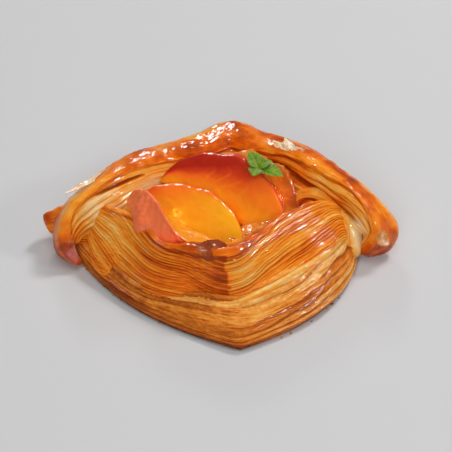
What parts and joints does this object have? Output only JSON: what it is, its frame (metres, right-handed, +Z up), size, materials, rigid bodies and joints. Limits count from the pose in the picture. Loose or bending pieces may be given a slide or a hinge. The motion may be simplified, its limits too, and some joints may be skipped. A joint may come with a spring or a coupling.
{
  "type": "danish pastry",
  "caption": "Diamond-shaped danish pastry of laminated dough, its two cut borders crossed at the side corners, with peach slices and a mint sprig in the well.",
  "frame": {"origin": "middle of the flat underside, under the centre of the whole part's outline", "axes": "+X towards the right crossed corner (the long way), +Y towards the back corner, +Z up"},
  "size_m": [0.1261, 0.0983, 0.03],
  "materials": {
    "baked_dough": "glazed, satin",
    "peach_flesh": "wet, glossy",
    "mint_leaf": "satin"
  },
  "bodies": {
    "root": {"pastry": "baked_dough", "peach_slice_rear": "peach_flesh", "peach_slice_back": "peach_flesh", "peach_slice_middle": "peach_flesh", "peach_slice_front": "peach_flesh", "mint_sprig": "mint_leaf"}
  },
  "joints": []
}
